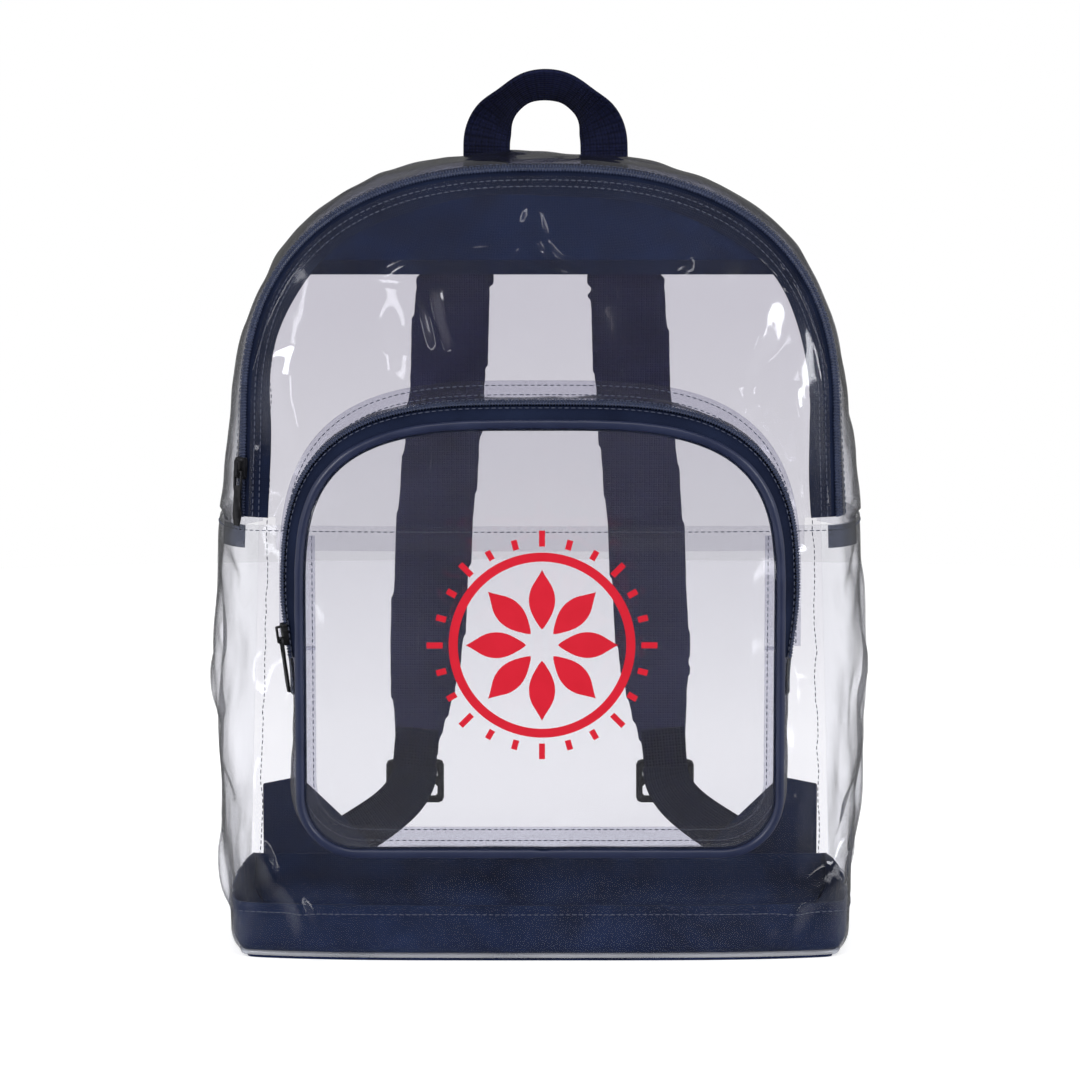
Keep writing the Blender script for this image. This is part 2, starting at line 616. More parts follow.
def woven(name, dark, light, pitch, roughness, relief, sheen=0.0, coat=0.0, fuzz=0.0, flat=False, shine=0.1):
    """Plain weave, two sets of threads a pitch apart: read from the piece's UV map in metres, or flat across."""
    material, tree = start_material(name)
    if flat:
        place = add_node(tree, "ShaderNodeTexCoord", output=3)
    else:
        place = add_node(tree, "ShaderNodeUVMap", uv_map="cloth")
    split = tree.nodes.new("ShaderNodeSeparateXYZ")
    tree.links.new(place.socket, split.inputs[0])
    turn = 2 * math.pi / pitch
    u, v = Wire(split.outputs[0]) * turn, Wire(split.outputs[2 if flat else 1]) * turn
    warp, weft = u.maths("SINE"), v.maths("SINE")
    cross = (u * 0.5).maths("SINE") * (v * 0.5).maths("SINE")
    threads = (warp.maths("ABSOLUTE") + weft.maths("ABSOLUTE")) * 0.35 + cross.maths("ABSOLUTE") * 0.3
    spots = add_node(tree, "ShaderNodeTexNoise", {"Vector": place, "Scale": 260, "Detail": 3})
    cloud = add_node(tree, "ShaderNodeTexNoise", {"Vector": place, "Scale": 26, "Detail": 4, "Distortion": 0.8})
    height = threads + spots * (0.35 + fuzz)
    bump = add_node(tree, "ShaderNodeBump", {"Height": height, "Strength": relief, "Distance": 0.0006})
    shade = (threads * 0.6 + cloud * 1.5 + spots * (0.1 + fuzz) - 0.65).maths("ADD", 0, clamp=True)
    colour = add_node(
        tree, "ShaderNodeMix", {0: shade, 6: (*dark, 1), 7: (*light, 1)}, output=2, data_type="RGBA"
    )
    surface = add_node(
        tree,
        "ShaderNodeBsdfPrincipled",
        {
            "Base Color": colour,
            "Roughness": cloud * 0.2 + (roughness - 0.1),
            "Specular IOR Level": shine,
            "Sheen Weight": sheen,
            "Sheen Roughness": 0.4,
            "Sheen Tint": (*light, 1),
            "Coat Weight": coat,
            "Coat Roughness": 0.3,
            "Normal": bump,
        },
    )
    return finish_material(material, surface)


navy_nylon = woven("navy_nylon", (0.003, 0.007, 0.03), (0.011, 0.025, 0.088), 0.0009, 0.62, 0.5, coat=0.06)
yoke_half = seam_path(yoke_foot, 121) - outwards(seam_path(yoke_foot, 121)) * 0.4
yoke_levels = np.linspace(0, 1, 18)
foot_line = np.column_stack([np.linspace(yoke_half[0, 0], yoke_half[-1, 0], 121), np.full(121, yoke_foot)])
yoke_xz = foot_line[:, None] + (yoke_half - foot_line)[:, None] * yoke_levels[:, None]
yoke_grid = np.stack([yoke_xz[..., 0], np.full(yoke_xz.shape[:2], back_face + back_wall), yoke_xz[..., 1]], -1)
pucker = waves(yoke_grid * [1, 1, 0.5], 34, 9) * 0.8 + waves(yoke_grid, 11, 10) * 0.15
yoke_grid[..., 1] += pucker * np.sin(math.pi * np.clip(yoke_levels, 0, 1)) ** 0.5 * 0.6
yoke_inner = yoke_grid - [0, yoke_thickness, 0]
yoke = walled("navy_yoke", yoke_grid, yoke_inner, navy_nylon)
fasten(yoke, "navy_cloth", "back_yoke")

# Navy base: a band of the same cloth inside the clear sheet, folded over at its top edge, with the bottom
# panel sewn into it.
base_height, band_depth, band_thickness = 30.0, 1.5, 1.0
band_levels = np.concatenate([np.linspace(-1.4, 0, 11)[:-1], np.linspace(0, base_height - bottom_round, 12)])


def band_grid(depth):
    wrap = wrap_rows(band_levels, depth)
    back = back_rows(band_levels, depth, 61)[1:-1][::-1]
    return np.concatenate([wrap, back])


band_outer, band_inner = band_grid(band_depth), band_grid(band_depth + band_thickness)
band_normal = outwards(band_outer[:, -1, :2], True)
band_normal *= np.sign((band_normal * band_outer[:, -1, :2]).sum(-1).mean())
crumple = waves(band_outer * [1, 1, 0.35], 15, 11) * 1.5 + waves(band_outer * [1, 1, 0.3], 38, 12) * 1.2
crumple = (np.abs(crumple) + 0.1) * np.clip(np.linspace(-0.1, 1.2, len(band_levels)), 0, 1)
for grid in (band_outer, band_inner):
    grid[..., 0] -= band_normal[:, :1] * crumple
    grid[..., 1] -= band_normal[:, 1:] * crumple
base_nylon = woven("base_nylon", (0.003, 0.007, 0.03), (0.013, 0.03, 0.1), 0.0011, 0.5, 0.7, coat=0.16)
base_band = walled("navy_base_band", band_outer, band_inner, base_nylon, closed=True)
fasten(base_band, "navy_cloth", "base_band")


def lofted(name, rings, finish, closed=False):
    """A solid through rings of points, with capped ends or joined end to start."""
    count, sides = rings.shape[:2]
    along = lengths(np.concatenate([rings, rings[:1]]) if closed else rings, 0)
    around = lengths(np.concatenate([rings, rings[:, :1]], 1), 1)
    i, k = [n.ravel() for n in np.meshgrid(np.arange(count - (not closed)), np.arange(sides), indexing="ij")]
    at = lambda r, c: (r % count) * sides + c % sides
    faces = np.stack([at(i, k), at(i, k + 1), at(i + 1, k + 1), at(i + 1, k)], 1)
    corners = ((i, k), (i, k + 1), (i + 1, k + 1), (i + 1, k))
    uv = np.stack([np.stack([along[r], around[c]], 1) for r, c in corners], 1).reshape(-1, 2)
    points = rings.reshape(-1, 3)
    a, b, c = (points[faces[0, n]] for n in (0, 1, 2))
    turned = np.dot(np.cross(b - a, c - b), a - rings[0].mean(0)) < 0
    faces = faces.tolist()
    uv = uv.tolist()
    if not closed:
        faces += [list(range(sides))[::-1], [(count - 1) * sides + n for n in range(sides)]]
        uv += [[0, 0]] * (2 * sides)
    piece = make_piece(name, points, faces, uv, finish)
    if turned:
        piece.data.flip_normals()
    return piece


foot_rows = wrap_rows([-0.96], 0.5)[:, 0]
foot_back = back_rows([-0.96], 0.5, 61)[1:-1, 0][::-1]
foot_line = np.concatenate([foot_rows, foot_back])
foot_line[:, 2] = 0
foot_centre = foot_line.mean(0)
floor_rings = np.stack([foot_centre + (foot_line - foot_centre) * share for share in np.linspace(0.985, 0.04, 14)])


def dished(name, rings, other, flat, finish):
    """A closed sheet between two sets of rings, the outermost first, with a point in each middle."""
    count, sides = rings.shape[:2]
    skins = [np.vstack([skin.reshape(-1, 3), skin[-1].mean(0)]) for skin in (rings, other)]
    size = count * sides + 1
    k = np.arange(sides)
    after = (k + 1) % sides
    faces = []
    for ring in range(count - 1):
        a, b = ring * sides, (ring + 1) * sides
        faces += np.stack([a + k, a + after, b + after, b + k], 1).tolist()
    last = (count - 1) * sides
    faces += np.stack([last + k, last + after, np.full(sides, size - 1)], 1).tolist()
    faces += [[n + size for n in face[::-1]] for face in faces]
    faces += np.stack([after, k, k + size, after + size], 1).tolist()
    points = np.concatenate(skins)
    uvs = [points[n][list(flat)] / 1000 for face in faces for n in face]
    a, b, c = (points[faces[0][n]] for n in (0, 1, 2))
    piece = make_piece(name, points, faces, uvs, finish)
    if np.dot(np.cross(b - a, c - b), points[0] - points[size]) < 0:
        piece.data.flip_normals()
    return piece


sag = waves(floor_rings, 30, 13)
floor_top = floor_rings + np.stack([0 * sag, 0 * sag, 1.4 + 0.5 * (sag + 0.6)], -1)
base_floor = dished("navy_base_panel", floor_top, floor_rings, (0, 1), navy_nylon)
fasten(base_floor, "navy_cloth", "base_floor")

# Welt: the bottom seam's edge, bound and standing out a little all round under the band.
pale_welt = clear_vinyl("pale_welt", (0.75, 0.78, 0.84), 0.35)
welt_radius, welt_depth = 1.4, 0.5
welt_angle = base_edge_angle + (welt_radius + 0.3) / (bottom_round - welt_depth)
welt_line = np.concatenate(
    [wrap_rows([-welt_angle], welt_depth)[:, 0], back_rows([-welt_angle], welt_depth, 61)[1:-1, 0][::-1]]
)


def tube_rings(centres, across, up, radius, sides=14):
    """Round sections along a line, by its own two directions."""
    angle = np.linspace(0, 2 * math.pi, sides, endpoint=False)
    size = np.broadcast_to(radius, (len(centres),))[:, None, None]
    ring = np.cos(angle)[None, :, None] * across[:, None, :] + np.sin(angle)[None, :, None] * up[:, None, :]
    return centres[:, None, :] + ring * size


welt_outs = outwards(welt_line[:, :2], True)
welt_across = np.column_stack([welt_outs, np.zeros(len(welt_outs))])
welt_up = np.tile([0, 0, 1.0], (len(welt_line), 1))
welt = lofted("pale_bottom_welt", tube_rings(welt_line, welt_across, welt_up, welt_radius), pale_welt, closed=True)
fasten(welt, "pale_welt", "base_piping")

# Main zipper: two woven tapes behind the edges of the vinyl, a nylon coil between them and a row of stitches
# on each side.
tape_cloth = woven("zipper_tape", (0.003, 0.006, 0.022), (0.011, 0.018, 0.048), 0.0011, 0.7, 0.5)
coil_clear, inner_tape_width, outer_tape_width, tape_depth, tape_thickness = 2.55, 11.4, 5.5, 0.75, 0.7


def front_points(seam, outs, inside):
    flat = seam - outs * inside
    return np.stack([flat[:, 0], front_at(flat[:, 0], flat[:, 1]), flat[:, 1]], 1)


def side_points(seam, outs, behind):
    front_y = front_at(seam[:, 0], seam[:, 1])
    y = front_y + behind
    out = side_out(y, seam[:, 1], front_y)
    return np.stack([seam[:, 0] + outs[:, 0] * out, y, seam[:, 1] + outs[:, 1] * out], 1)


tape_wander = 1 + 0.1 * np.sin(np.linspace(0, 31, len(zip_seam))) * np.sin(np.linspace(0, 11, len(zip_seam)))
inner_reach = coil_clear + inner_tape_width * tape_wander
tape_levels = np.linspace(0, 1, 8)
inner_tape = np.stack(
    [front_points(zip_seam, zip_outs, (0.5 + (inner_reach - 0.5) * k)[:, None]) for k in tape_levels], 1
)
inner_normal = normals_of(inner_tape, front)
tape_face = inner_tape - inner_normal * tape_depth
tape_back = tape_face - inner_normal * tape_thickness
fasten(walled("zipper_tape_inner", tape_face, tape_back, tape_cloth), "zipper_tape", "main_zipper_tape_inner")

zip_facing = upright(zip_outs)
outer_reach = coil_clear + outer_tape_width
outer_tape = np.stack([side_points(zip_seam, zip_outs, 0.5 + (outer_reach - 0.5) * k) for k in tape_levels], 1)
outer_normal = normals_of(outer_tape, zip_facing[:, None])
tape_face = outer_tape - outer_normal * tape_depth
tape_back = tape_face - outer_normal * tape_thickness
fasten(walled("zipper_tape_outer", tape_face, tape_back, tape_cloth), "zipper_tape", "main_zipper_tape_outer")

# The coil is one wound thread: each turn is a small rounded body laid across the seam, left and right in turn.
def speckled(name, dark, light, scale, detail, roughness, relief=None, sharpen=1, **more):
    """A plain finish whose shade and roughness follow a noise.

    Its relief is the noise's share in a bump, the scale of a finer grain or 0, the bump's strength and its depth.
    """
    material, tree = start_material(name)
    place = add_node(tree, "ShaderNodeTexCoord", output=3)
    cover = add_node(tree, "ShaderNodeTexNoise", {"Vector": place, "Scale": scale, "Detail": detail})
    mix = {0: cover**sharpen if sharpen != 1 else cover, 6: (*dark, 1), 7: (*light, 1)}
    colour = add_node(tree, "ShaderNodeMix", mix, output=2, data_type="RGBA")
    values = {"Base Color": colour, "Roughness": cover * roughness[0] + roughness[1]}
    if relief:
        cover_share, grain_scale, strength, depth = relief
        height = cover * cover_share
        if grain_scale:
            height = height + add_node(tree, "ShaderNodeTexNoise", {"Vector": place, "Scale": grain_scale})
        bump = {"Height": height, "Strength": strength, "Distance": depth}
        values["Normal"] = add_node(tree, "ShaderNodeBump", bump)
    values.update({label.replace("_", " "): value for label, value in more.items()})
    return finish_material(material, add_node(tree, "ShaderNodeBsdfPrincipled", values))


coil_light = {"Specular_IOR_Level": 0.6}
nylon = speckled("coil_nylon", (0.01, 0.016, 0.04), (0.04, 0.055, 0.12), 300, 2, (0.2, 0.25), **coil_light)

repeat_tree = bpy.data.node_groups.new("repeat_rounded_body", "GeometryNodeTree")
for label, kind in (
    ("Geometry", "NodeSocketGeometry"),
    ("Length", "NodeSocketFloat"),
    ("Width", "NodeSocketFloat"),
    ("Height", "NodeSocketFloat"),
    ("Fineness", "NodeSocketInt"),
    ("Uneven", "NodeSocketFloat"),
    ("Finish", "NodeSocketMaterial"),
):
    repeat_tree.interface.new_socket(label, in_out="INPUT", socket_type=kind)
repeat_tree.interface.new_socket("Geometry", in_out="OUTPUT", socket_type="NodeSocketGeometry")
given = repeat_tree.nodes.new("NodeGroupInput")
given = {socket.name: Wire(socket) for socket in given.outputs if socket.name}
along_way = add_node(repeat_tree, "GeometryNodeInputNamedAttribute", {"Name": "along"}, data_type="FLOAT_VECTOR")
out_way = add_node(repeat_tree, "GeometryNodeInputNamedAttribute", {"Name": "out"}, data_type="FLOAT_VECTOR")
turn = add_node(
    repeat_tree,
    "FunctionNodeAxesToRotation",
    {"Primary Axis": along_way, "Secondary Axis": out_way},
    primary_axis="X",
    secondary_axis="Z",
)
body = add_node(repeat_tree, "GeometryNodeMeshIcoSphere", {"Radius": 0.5, "Subdivisions": given["Fineness"]})
size = add_node(
    repeat_tree, "ShaderNodeCombineXYZ", {0: given["Length"], 1: given["Width"], 2: given["Height"]}
)
body = add_node(repeat_tree, "GeometryNodeTransform", {"Geometry": body, "Scale": size})
chance = add_node(
    repeat_tree,
    "FunctionNodeRandomValue",
    {2: 1 - given["Uneven"], 3: given["Uneven"] + 1, 8: 5},
    output=1,
    data_type="FLOAT",
)
bodies = add_node(
    repeat_tree,
    "GeometryNodeInstanceOnPoints",
    {"Points": given["Geometry"], "Instance": body, "Rotation": turn, "Scale": chance},
)
bodies = add_node(repeat_tree, "GeometryNodeRealizeInstances", {"Geometry": bodies})
bodies = add_node(repeat_tree, "GeometryNodeSetShadeSmooth", {"Geometry": bodies})
bodies = add_node(repeat_tree, "GeometryNodeSetMaterial", {"Geometry": bodies, "Material": given["Finish"]})
repeat_tree.links.new(bodies.socket, repeat_tree.nodes.new("NodeGroupOutput").inputs[0])


def repeated(name, places, along, out, size, finish, fineness=2, uneven=0.06):
    """One mesh of small rounded bodies of a size in millimetres, on places, each laid along and facing out."""
    row = bpy.data.meshes.new(name + "_places")
    row.from_pydata(placed(places).tolist(), [], [])
    for label, vectors in (("along", along), ("out", out)):
        layer = row.attributes.new(label, "FLOAT_VECTOR", "POINT")
        layer.data.foreach_set("vector", np.asarray(vectors, np.float32).ravel())
    holder = bpy.data.objects.new(name + "_places", row)
    scene.collection.objects.link(holder)
    grown = holder.modifiers.new("bodies", "NODES")
    grown.node_group = repeat_tree
    values = {
        "Length": size[0] / 1000,
        "Width": size[1] / 1000,
        "Height": size[2] / 1000,
        "Fineness": fineness,
        "Uneven": uneven,
        "Finish": finish,
    }
    for item in repeat_tree.interface.items_tree:
        if item.in_out == "INPUT" and item.name in values:
            grown[item.identifier] = values[item.name]
    ready = bpy.context.evaluated_depsgraph_get()
    mesh = bpy.data.meshes.new_from_object(holder.evaluated_get(ready), depsgraph=ready)
    bpy.data.objects.remove(holder)
    mesh.name = name
    piece = bpy.data.objects.new(name, mesh)
    scene.collection.objects.link(piece)
    return piece


def spaced(line, outs, pitch):
    """Places a pitch apart on a line over a surface, with their directions along and out."""
    reach = np.concatenate([[0], np.cumsum(np.linalg.norm(np.diff(line, axis=0), axis=1))])
    at = np.arange(pitch / 2, reach[-1], pitch)

    def between(rows):
        return np.stack([np.interp(at, reach, rows[:, k]) for k in range(3)], 1)

    return between(line), unit(between(np.gradient(line, axis=0))), unit(between(outs))


def joined(name, pieces):
    """Several objects as one."""
    with bpy.context.temp_override(active_object=pieces[0], selected_editable_objects=pieces):
        bpy.ops.object.join()
    pieces[0].name = name
    return pieces[0]


def coil_turns(name, centres, across, up, pitch):
    """The turns of a coil and the cord inside them."""
    places, along, out = spaced(centres, up, pitch / 2)
    ways = spaced(centres, across, pitch / 2)[2]
    sides = np.where(np.arange(len(places)) % 2, 0.9, -0.9)[:, None]
    turns = repeated(name, places + ways * sides, ways, out, (2.8, 1.15, 2.3), nylon)
    cord = lofted(name + "_cord", tube_rings(centres, across * 1.9, up * 0.5, 0.95, 10), nylon)
    return joined(name, [turns, cord])


coil_corner = front_points(zip_seam, zip_outs, 0)
coil_across = unit(side_points(zip_seam, zip_outs, sheet_edge) - front_points(zip_seam, zip_outs, sheet_edge))
coil_up = unit(np.cross(np.gradient(coil_corner, axis=0), coil_across))
coil_up *= -np.sign(coil_up[:, 1:2])
main_coil = coil_turns("main_zipper_coil_turns", coil_corner - coil_up * 0.35, coil_across, coil_up, 1.5)
fasten(main_coil, "zipper_coil", "main_zipper_coil")

thread = speckled("grey_navy_thread", (0.02, 0.026, 0.06), (0.1, 0.115, 0.17), 500, 2, (0.2, 0.35))
stitch_size, stitch_pitch = (2.5, 0.55, 0.5), 3.3


def sewn(name, rows, slot, lift=0.2, pitch=stitch_pitch):
    """Rows of stitches, each a line on a surface and the surface's outward directions."""
    rows = [spaced(line, outs, pitch) for line, outs in rows]
    places, along, out = (np.concatenate([row[k] for row in rows]) for k in range(3))
    fasten(repeated(name, places + out * lift, along, out, stitch_size, thread), slot)


main_rows = [(front_points(zip_seam, zip_outs, inside), np.tile(front, (len(zip_seam), 1))) for inside in (6.2, 9.4)]
main_rows.append((side_points(zip_seam, zip_outs, 6.4), zip_facing))
sewn("main_zipper_stitches", main_rows, "zipper_tape")

# Hem of the lower sheet: its top edge lies over the front panel and is sewn down, and a second row holds the
# navy band at the foot.
hem_rows = []
for height in (223.0, 26.5):
    row = int(np.argmin(np.abs(wrap_grid[0, :, 2] - height)))
    hem_rows.append((wrap_grid[4:-4, row], wrap_normal[4:-4, row]))
sewn("lower_sheet_stitches", hem_rows, "navy_cloth")

back_row = seam_path(24.0, 300)
back_row = back_row - outwards(back_row) * 5
back_row = np.stack([back_row[:, 0], np.full(300, back_face + 0.1), back_row[:, 1]], 1)
back_row[:, 0] += 1.4 * waves(back_row, 17, 19) + 0.6 * waves(back_row, 7, 20)
back_way = np.tile([0, 1.0, 0], (300, 1))
yoke_x = np.linspace(-118, 118, 60)
yoke_row = np.stack([yoke_x, np.full(60, back_face + 1.4), np.full(60, yoke_foot + 3.5)], 1)
sewn("back_seam_stitches", [(back_row, back_way), (yoke_row, back_way[:60])], "navy_cloth", lift=0.4)

# Zipper end tabs: small pieces of frosted sheet below the zipper's two ends, laid over the lower sheet's hem
# round the corner to the side.
frosted = clear_vinyl("frosted_tab", (0.3, 0.32, 0.38), 0.015, 0.4)
tab_levels = np.linspace(wrap_top - 12, wrap_top - 0.3, 9) - bottom_round
tab_outer, tab_inner = wrap_rows(tab_levels, -1.1), wrap_rows(tab_levels, -0.4)
tab_s = lengths(tab_outer, 0) * 1000
for side, reach_front in (("left", 10), ("right", 14)):
    run = tab_s if side == "left" else tab_s[-1] - tab_s
    keep = (run > 128 - 14) & (run < 128 + reach_front)
    tab = walled("frosted_end_tab_" + side, tab_outer[keep], tab_inner[keep], frosted)
    fasten(tab, "zipper_tape", "zipper_end_tab_" + side)

# Pocket: clear walls sewn to the front by flanges, with their own zipper over the top half, piping round the
# rim and a clear window.
pocket_half, pocket_foot, pocket_corner, pocket_arch, pocket_top = 120.3, 66.3, 29.0, 190.0, 283.0
pocket_power, pocket_rim, pocket_zip_foot = 3.4, -112.0, 165.0
pipe_radius, pocket_zip_rise = 2.25, 8.6
flange_out, flange_in, tape_rest = 8.5, 10.0, 1.3


def pocket_paths(count):
    """The rim's upper and lower stretches, both clockwise as seen from the front."""
    angle = np.linspace(0, math.pi / 2, 160)
    x = pocket_half * np.cos(angle) ** (2 / pocket_power)
    z = pocket_arch + (pocket_top - pocket_arch) * np.sin(angle) ** (2 / pocket_power)
    right = np.vstack([np.stack([x, z], 1)[::-1], [[pocket_half, pocket_zip_foot]]])
    upper = np.vstack([right[:0:-1] * [-1, 1], right])
    angle = np.linspace(0, math.pi / 2, 24)
    x = pocket_half - pocket_corner * (1 - np.cos(angle))
    z = pocket_foot + pocket_corner * (1 - np.sin(angle))
    right = np.vstack([[[pocket_half, pocket_zip_foot]], np.stack([x, z], 1)])
    return evenly(upper, count), evenly(np.vstack([right, right[::-1] * [-1, 1]]), count)


upper_rim, lower_rim = pocket_paths(181)
upper_outs, lower_outs = outwards(upper_rim), outwards(lower_rim)


def wall_points(rim, outs, behind, rest):
    """The pocket wall's points so far behind its rim, where the wall's foot rests off the front."""
    share = np.clip(behind / (front_at(rim[:, 0], rim[:, 1]) - rest - pocket_rim), 0, 1)
    high = np.clip((rim[:, 1] - pocket_zip_foot + 13.5) / (pocket_arch - pocket_zip_foot + 23.5), 0, 1)
    high = high * high * (3 - 2 * high)
    out = (4.5 + 5.5 * np.maximum(0, outs[:, 1]) ** 2) * share + (3 + 5 * high) * np.sin(math.pi * share**0.6)
    return np.stack([rim[:, 0] + outs[:, 0] * out, pocket_rim + behind + 0 * out, rim[:, 1] + outs[:, 1] * out], 1)


def pocket_wall(rim, outs, start, rest, flange):
    """A wall from a place behind the rim to its foot, and the flange that it is sewn down by."""
    depth = front_at(rim[:, 0], rim[:, 1]) - rest - pocket_rim
    rows = [wall_points(rim, outs, start + (depth - start) * share, rest) for share in np.linspace(0, 0.985, 26)]
    foot = wall_points(rim, outs, depth, rest)
    for further in np.concatenate([[0.06], np.linspace(0.15, 1, 7)]) * flange:
        x, z = foot[:, 0] + outs[:, 0] * further, foot[:, 2] + outs[:, 1] * further
        rows.append(np.stack([x, front_at(x, z) - rest, z], 1))
    grid = np.stack(rows, 1)
    level = np.concatenate([np.linspace(0, 1, 26), np.ones(8)])
    calm = np.sin(math.pi * level) ** 0.8
    facing = (upright(outs) - [0, 0.6, 0])[:, None]
    normal = normals_of(grid, facing)
    ripple = waves(grid, 26, 14) * 1.5 + waves(grid * [1, 0.4, 1], 11, 15) * 0.5
    grid = grid + normal * (calm * ripple)[..., None]
    return grid, normals_of(grid, facing)


pocket_vinyl = clear_vinyl("clear_vinyl_pocket_wall", (0.86, 0.86, 0.9), 0.012, 0.3)
upper_wall, upper_wall_out = pocket_wall(upper_rim, upper_outs, pocket_zip_rise + coil_clear, 0.9, flange_out)
piece = walled("clear_pocket_wall_upper", upper_wall, upper_wall - upper_wall_out * sheet_thickness, pocket_vinyl)
fasten(piece, "clear_vinyl", "pocket_gusset_upper")
lower_wall, lower_wall_out = pocket_wall(lower_rim, lower_outs, pipe_radius + 0.3, 0.3, -flange_in)
piece = walled("clear_pocket_wall_lower", lower_wall, lower_wall - lower_wall_out * sheet_thickness, pocket_vinyl)
fasten(piece, "clear_vinyl", "pocket_gusset_lower")

upper_facing = upright(upper_outs)
tape_reach = np.linspace(0.4, pocket_zip_rise + 6.4, 16)
pocket_tape = np.stack([wall_points(upper_rim, upper_outs, behind, tape_rest) for behind in tape_reach], 1)
tape_out = normals_of(pocket_tape, upper_facing[:, None])
piece = walled("pocket_zipper_tape_strip", pocket_tape - tape_out * 0.75, pocket_tape - tape_out * 1.4, tape_cloth)
fasten(piece, "zipper_tape", "pocket_zipper_tape")

nearer = wall_points(upper_rim, upper_outs, pocket_zip_rise - 2.25, tape_rest)
further = wall_points(upper_rim, upper_outs, pocket_zip_rise + 2.25, tape_rest)
coil_across = unit(further - nearer)
coil_centre = wall_points(upper_rim, upper_outs, pocket_zip_rise, tape_rest)
coil_up = unit(np.cross(np.gradient(coil_centre, axis=0), coil_across))
coil_up *= np.sign((coil_up * upper_facing).sum(-1, keepdims=True))
pocket_coil = coil_turns("pocket_zipper_coil_turns", coil_centre + coil_up * 0.5, coil_across, coil_up, 1.5)
fasten(pocket_coil, "zipper_coil", "pocket_zipper_coil")

for side, stretch in (("right", slice(0, 9)), ("left", slice(-9, None))):
    rim, outs = lower_rim[stretch], lower_outs[stretch]
    grid = np.stack([wall_points(rim, outs, behind, tape_rest) for behind in tape_reach[3:]], 1)
    facing = upright(outs)[:, None]
    out = normals_of(grid, facing)
    tab = walled("frosted_pocket_tab_" + side, grid + out * 1.0, grid + out * 0.4, frosted)
    fasten(tab, "zipper_tape", "pocket_end_tab_" + side)

wall_way = np.tile(front, (181, 1))
flange_rows = []
for end, side in ((0, 1), (-1, -1)):
    foot = lower_wall[end, -8]
    low, high = np.array([foot[0] - side * 1.5, foot[2] - 2]), np.array([foot[0] - side * 1.5, wrap_top - 5])
    spine = low + (high - low) * np.linspace(0, 1, 24)[:, None]
    flat = np.stack([spine - [side * inside, 0] for inside in np.linspace(0, flange_in - 2, 6)], 1)
    grid = np.stack([flat[..., 0], front_at(flat[..., 0], flat[..., 1]) - 0.5, flat[..., 1]], -1)
    strip = walled("clear_flange_end_" + ("right" if side > 0 else "left"), grid, grid + [0, 0.4, 0], pocket_vinyl)
    fasten(strip, "clear_vinyl")
    flange_rows += [(grid[:, 1], wall_way[:24]), (grid[:, 4], wall_way[:24])]
for column in (-7, -3):
    flange_rows.append((upper_wall[:, column], wall_way))
for column in (-6, -2):
    flange_rows.append((lower_wall[:, column], wall_way))
flange_rows.append((wall_points(upper_rim, upper_outs, pocket_zip_rise + 4.4, tape_rest), upper_facing))
flange_rows.append((wall_points(upper_rim, upper_outs, pocket_zip_rise - 3.8, tape_rest), upper_facing))
sewn("pocket_stitches", flange_rows, "zipper_tape", lift=0.35)

# Piping: a cord in smooth coated cloth, sewn round the rim between wall and window, its ends meeting at the
# middle of the foot.
coated = {"relief": (1, 1400, 0.15, 0.0004), "Coat_Weight": 0.25}
piping = speckled("navy_piping", (0.006, 0.01, 0.036), (0.015, 0.024, 0.072), 60, 3, (0.2, 0.3), **coated)
rim_line = np.vstack([lower_rim[90:-1], upper_rim[:-1], lower_rim[:90]])
rim_outs = outwards(rim_line, True)
rim_centres = np.stack([rim_line[:, 0], np.full(len(rim_line), pocket_rim), rim_line[:, 1]], 1)
rim_across = upright(rim_outs)
from_joint = np.minimum(np.arange(len(rim_line)), len(rim_line) - 1 - np.arange(len(rim_line)))
uneven = 0.06 * np.sin(np.arange(len(rim_line)) * 0.7)
pipe_size = pipe_radius * (1 - 0.22 * np.exp(-((from_joint / 0.9) ** 2))) + uneven
pipe_rings = tube_rings(rim_centres, rim_across, np.tile(front, (len(rim_line), 1)), pipe_size, 18)
fasten(lofted("navy_rim_piping", pipe_rings, piping, closed=True), "navy_piping", "pocket_piping")

allowance_levels = np.linspace(0.6, 3.4, 6)
allowance = np.stack([rim_line - rim_outs * inside for inside in allowance_levels], 1)
allowance = np.stack([allowance[..., 0], np.full(allowance.shape[:2], pocket_rim + 1.0), allowance[..., 1]], -1)
allowance[..., 1] += 0.5 * np.sin(np.linspace(0, 60, len(rim_line)))[:, None] * np.linspace(0, 1, 6) ** 2
strip = walled("piping_seam_allowance", allowance, allowance + [0, 0.5, 0], tape_cloth, closed=True)
fasten(strip, "navy_piping")

# Window: the pocket's clear front, slightly domed, with broad soft waves.
window_vinyl = clear_vinyl("clear_vinyl_window", (0.975, 0.975, 0.985), 0.008, 0.12)
window_middle = np.array([0, (pocket_top + pocket_foot) / 2])
window_edge = rim_line - rim_outs * (pipe_radius + 0.3)
edge_from = window_edge - window_middle
edge_angle = np.arctan2(edge_from[:, 1], edge_from[:, 0])
order = np.argsort(edge_angle)
edge_radius = np.linalg.norm(edge_from, axis=1)


def window_points(flat):
    """Points of the window's face over a flat place in front of it."""
    off = flat - window_middle
    angle = np.arctan2(off[..., 1], off[..., 0])
    radius = np.interp(angle, edge_angle[order], edge_radius[order], period=2 * math.pi)
    share = np.clip(np.linalg.norm(off, axis=-1) / radius, 0, 1)
    y = pocket_rim - 0.5 - 3.6 * (1 - share**4)
    points = np.stack([flat[..., 0], y, flat[..., 1]], -1)
    calm = np.clip((1 - share) / 0.12, 0, 1)
    soft = waves(points * [0.45, 1, 1], 44, 16) * 2.3 + waves(points, 24, 17) * 0.4
    points[..., 1] += calm * soft
    return points


